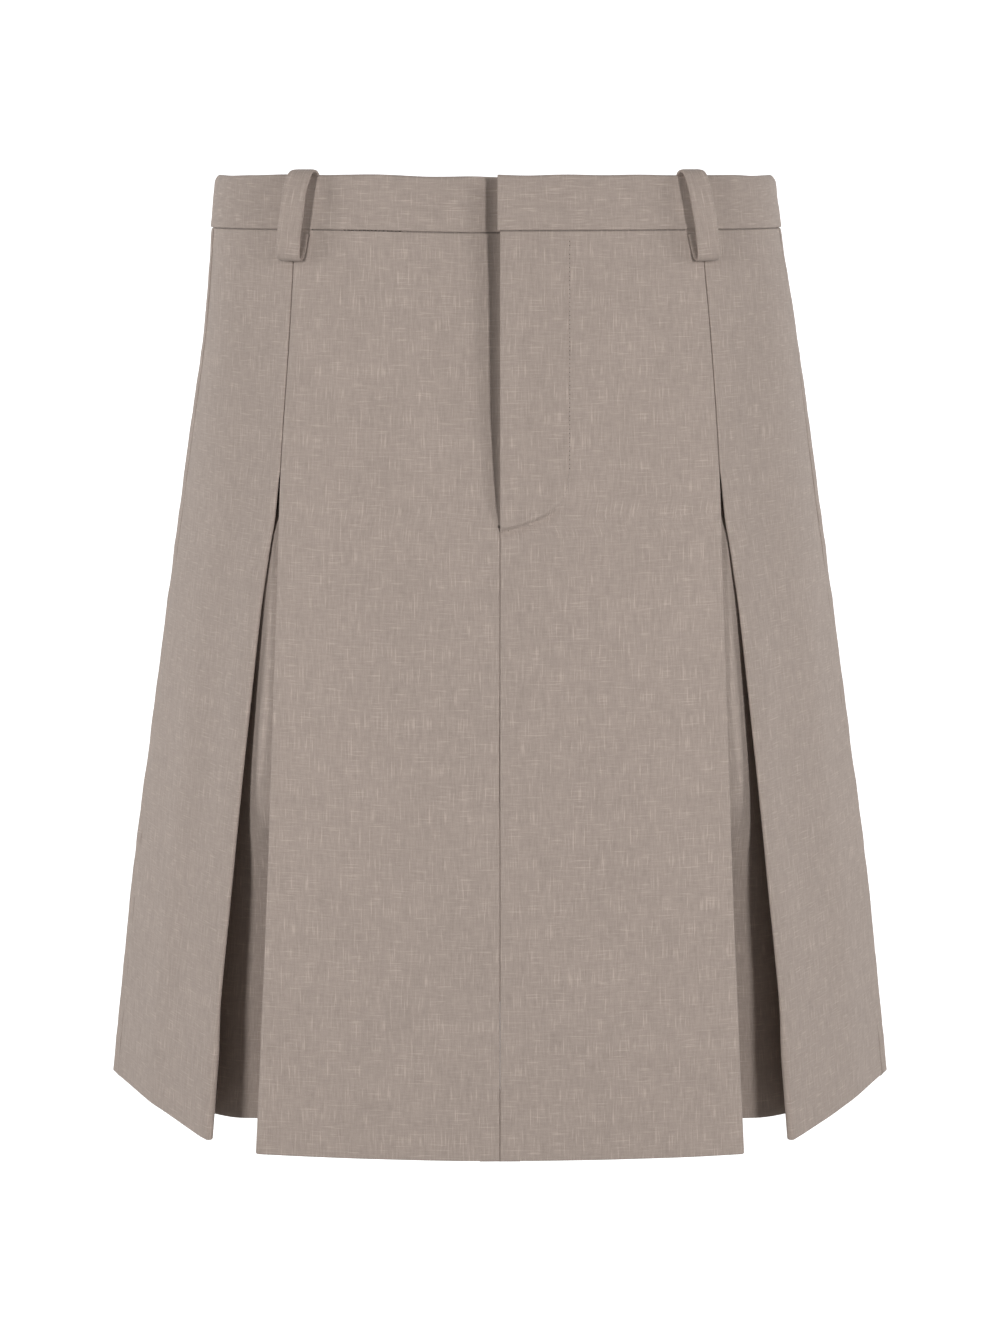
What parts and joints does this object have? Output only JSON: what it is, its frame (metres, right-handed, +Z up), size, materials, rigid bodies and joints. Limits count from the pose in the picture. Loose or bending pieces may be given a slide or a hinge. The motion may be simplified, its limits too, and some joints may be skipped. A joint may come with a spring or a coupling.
{
  "type": "pleated mini skirt",
  "caption": "A-line mini skirt filled out as worn, with waistband, lapped fly front, belt loops and inverted pleats.",
  "frame": {"origin": "the middle of the waist opening, inside the waistband, 11 mm above the waist seam", "axes": "+Z up out of the waist, -Y towards the front, +X towards the wearer's left"},
  "size_m": [0.4068, 0.298, 0.4677],
  "materials": {
    "suiting": "matt warm grey-beige melange suiting in a fine plain weave",
    "zip_tape": "matt woven zip tape, tone on tone",
    "hook_metal": "dull nickel-plated steel"
  },
  "bodies": {
    "root": {"waistband": "suiting", "front_left": "suiting", "front_right": "suiting", "side_front_left": "suiting", "side_front_right": "suiting", "pleat_underlay_left": "suiting", "pleat_underlay_right": "suiting", "back": "suiting", "belt_loop_front_left": "suiting", "belt_loop_front_right": "suiting", "belt_loop_back_left": "suiting", "belt_loop_back_right": "suiting", "belt_loop_back_centre": "suiting", "fly_zip": "zip_tape", "waist_hook": "hook_metal"}
  },
  "joints": []
}
